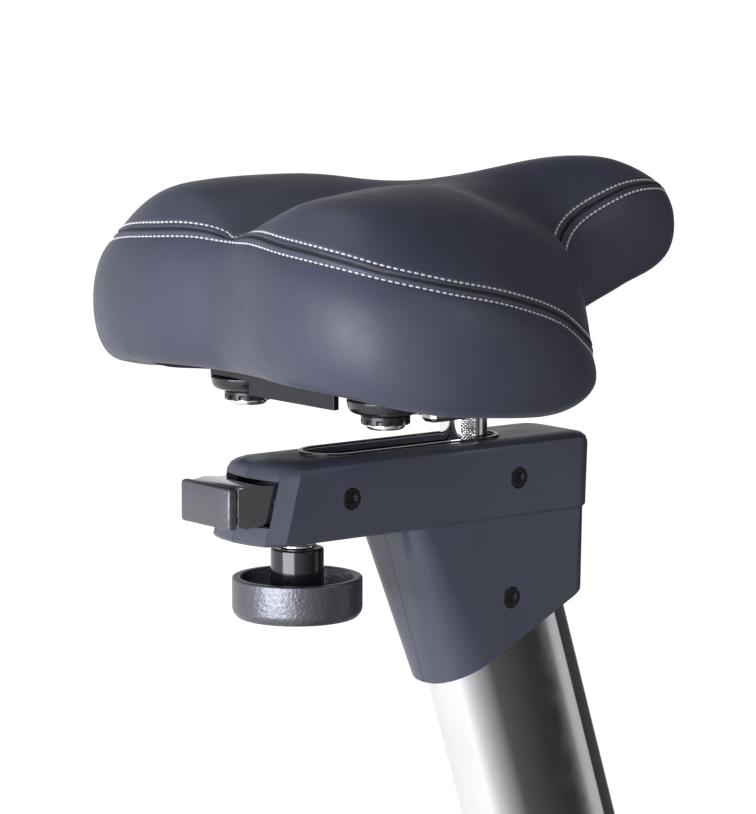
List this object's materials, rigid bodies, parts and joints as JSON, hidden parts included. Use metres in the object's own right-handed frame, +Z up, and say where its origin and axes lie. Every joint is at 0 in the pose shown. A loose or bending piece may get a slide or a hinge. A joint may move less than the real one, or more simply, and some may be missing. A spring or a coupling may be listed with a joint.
{
  "type": "exercise bike saddle and seat post",
  "caption": "Padded exercise bike saddle that slides fore and aft on a housed rail, with a release lever and a clamp knob, on a flat-oval seat post.",
  "frame": {"origin": "centre of the seat post's bottom face, on the post's axis", "axes": "+Z up, +X towards the saddle's nose, which is the bike's forward direction, +Y to the rider's left; the post leans back 17.5 degrees from its foot"},
  "size_m": [0.3155, 0.251, 0.5769],
  "materials": {
    "vinyl": "fine grained satin vinyl, slate blue-grey",
    "housing": "satin moulded plastic, charcoal",
    "plastic": "plain moulded plastic, dark grey",
    "gloss_black": "glossy black plastic",
    "textured": "hammered dark grey",
    "chrome": "polished chrome plate",
    "steel": "zinc plated steel",
    "black_steel": "black oxide",
    "seam": "folded vinyl band between the stitch rows, near black",
    "thread": "pale grey sewing thread",
    "rubber": "black rubber",
    "nylon": "natural nylon"
  },
  "bodies": {
    "root": {"seat_post": "chrome", "post_end_plug": "nylon", "push_rod_guide": "nylon", "left_cover": "housing", "right_cover": "housing", "slot_trim": "gloss_black", "slide_rail": "steel", "clamp_bar_pin": "steel", "knob_bush": "steel", "lever_pin": "steel", "lever_spring": "steel", "crank_pin": "steel", "left_cover_screw_1": "black_steel", "left_cover_screw_2": "black_steel", "left_cover_screw_3": "black_steel", "right_cover_screw_1": "black_steel", "right_cover_screw_2": "black_steel", "right_cover_screw_3": "black_steel"},
    "carriage": {"slider_block": "steel", "left_glide": "nylon", "right_glide": "nylon", "saddle_stem": "chrome", "stem_clamp": "steel", "clamp_bolt": "steel", "left_tilt_washer": "steel", "right_tilt_washer": "steel", "left_clamp_nut": "steel", "right_clamp_nut": "steel"},
    "under_frame": {"left_saddle_rail": "steel", "right_saddle_rail": "steel", "left_rail_shoe": "steel", "right_rail_shoe": "steel", "rear_bracket": "black_steel", "nose_socket": "plastic", "left_bumper_cup": "rubber", "right_bumper_cup": "rubber", "left_bumper": "rubber", "right_bumper": "rubber", "left_bumper_bolt": "chrome", "right_bumper_bolt": "chrome", "left_bumper_nut": "black_steel", "right_bumper_nut": "black_steel"},
    "saddle_top": {"saddle_cushion": "vinyl", "saddle_shell": "plastic"},
    "lever": {"lever_body": "chrome", "lever_pad": "textured"},
    "pull_bar": {"pull_bar": "steel"},
    "crank": {"release_crank": "steel"},
    "push_rod": {"push_rod": "steel"},
    "clamp_foot": {"clamp_foot": "steel"},
    "knob": {"knob_cup": "textured", "knob_hub": "gloss_black", "knob_washer": "chrome", "knob_stud": "chrome"},
    "clamp_bar": {"clamp_bar": "steel"}
  },
  "joints": [
    {"name": "seat_fore_aft", "type": "slide", "parent": "root", "child": "carriage", "axis": [-1, 0, 0], "range_m": [0, 0.074]},
    {"name": "saddle_tilt", "type": "hinge", "parent": "carriage", "child": "under_frame", "pos_m": [-0.1503, 0, 0.46056], "axis": [0, 1, 0], "range_deg": [-8, 8]},
    {"name": "saddle_flex", "type": "hinge", "parent": "under_frame", "child": "saddle_top", "pos_m": [-0.0343, 0, 0.51756], "axis": [0, -1, 0], "range_deg": [0, 2], "stiffness_Nm_per_rad": 1500, "deforming": ["left_bumper", "right_bumper"]},
    {"name": "release_lever", "type": "hinge", "parent": "root", "child": "lever", "pos_m": [-0.2473, 0, 0.41956], "axis": [0, 1, 0], "range_deg": [0, 10], "stiffness_Nm_per_rad": 0.8, "springref_deg": -22.92},
    {"name": "pull_bar_slide", "type": "slide", "parent": "root", "child": "pull_bar", "axis": [-1, 0, 0], "range_m": [0, 0.0028]},
    {"name": "crank_turn", "type": "hinge", "parent": "root", "child": "crank", "pos_m": [-0.1123, 0, 0.38956], "axis": [0, -1, 0], "range_deg": [0, 10.5]},
    {"name": "push_rod_slide", "type": "slide", "parent": "root", "child": "push_rod", "axis": [0.3007, 0, -0.9537], "range_m": [0, 0.0018]},
    {"name": "clamp_foot_slide", "type": "slide", "parent": "root", "child": "clamp_foot", "axis": [0, 0, -1], "range_m": [0, 0.0016]},
    {"name": "knob_turn", "type": "hinge", "parent": "clamp_foot", "child": "knob", "pos_m": [-0.2235, 0, 0.40056], "axis": [0, 0, -1], "range_deg": [0, 360]},
    {"name": "clamp_bar_turn", "type": "hinge", "parent": "root", "child": "clamp_bar", "pos_m": [-0.0923, 0, 0.41406], "axis": [0, -1, 0], "range_deg": [0, 0.75]}
  ],
  "couplings": [
    {"joint": "pull_bar_slide", "follows": "release_lever", "m_per_rad": 0.015},
    {"joint": "crank_turn", "follows": "release_lever", "ratio": 1},
    {"joint": "push_rod_slide", "follows": "release_lever", "m_per_rad": 0.0095},
    {"joint": "clamp_foot_slide", "follows": "knob_turn", "m_per_rad": 0.00023873},
    {"joint": "clamp_bar_turn", "follows": "knob_turn", "ratio": 0.0018196}
  ]
}
